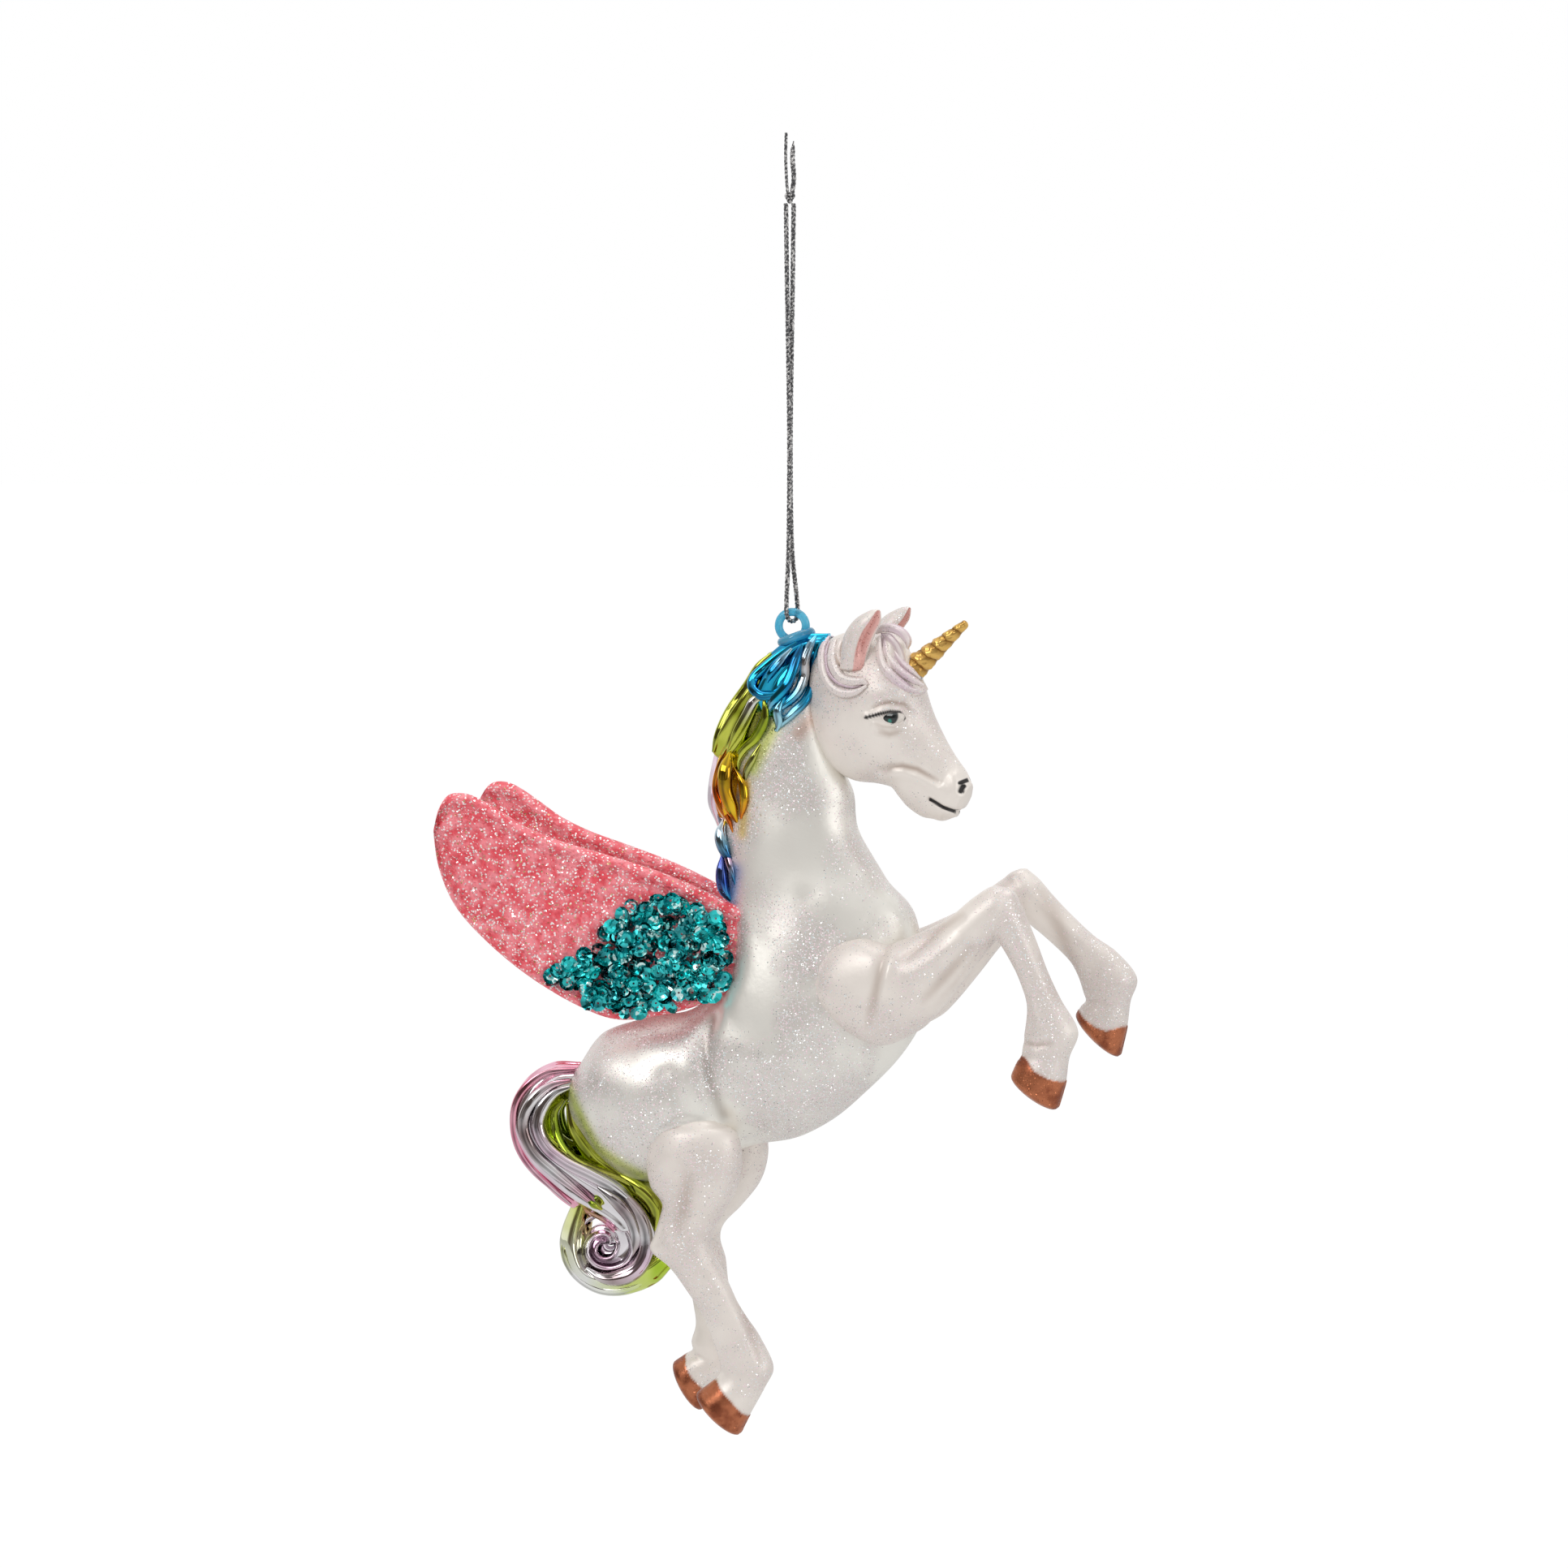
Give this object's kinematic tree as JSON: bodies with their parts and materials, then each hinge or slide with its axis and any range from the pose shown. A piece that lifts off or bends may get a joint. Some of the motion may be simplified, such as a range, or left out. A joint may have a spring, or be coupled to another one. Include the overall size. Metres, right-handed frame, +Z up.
{
  "type": "hanging ornament",
  "caption": "Rearing winged unicorn ornament of silvered glass with cast head, legs and wings, hanging by a ringed cap from a knotted metallic cord.",
  "frame": {"origin": "the top of the cord's loop just under its knot, where the ornament is hooked up", "axes": "+Z up, +X the way the unicorn faces, -Y towards the unicorn's right side; the unicorn hangs at rest below the origin"},
  "size_m": [0.1072, 0.0304, 0.2027],
  "materials": {
    "silvered_glass": "silvered inside, matt pearl lacquer with fine glitter on the trunk and neck, transparent coloured lacquers over mirror on mane and tail",
    "pearl_casting": "satin pearl paint with fine iridescent glitter, copper painted hooves",
    "gilding": "satin gold paint",
    "wing_glitter": "coarse coral pink glitter",
    "sequin_foil": "metallised, glossy teal",
    "tinted_glass": "glossy translucent blue",
    "metallic_cord": "twisted silver-grey metallic yarn"
  },
  "bodies": {
    "cord": {"cord_loop": "metallic_cord", "cord_knot": "metallic_cord", "cord_tails": "metallic_cord"},
    "unicorn": {"glass_body": "silvered_glass", "head": "pearl_casting", "horn": "gilding", "right_foreleg": "pearl_casting", "left_foreleg": "pearl_casting", "right_hind_leg": "pearl_casting", "left_hind_leg": "pearl_casting", "right_wing": "wing_glitter", "left_wing": "wing_glitter", "right_wing_sequins": "sequin_foil", "left_wing_sequins": "sequin_foil", "hanger_cap": "tinted_glass"}
  },
  "joints": [
    {"name": "ring_swing", "type": "hinge", "parent": "cord", "child": "unicorn", "pos_m": [0.0004, 0, -0.0657], "axis": [0, 1, 0], "range_deg": [-60, 75]}
  ]
}
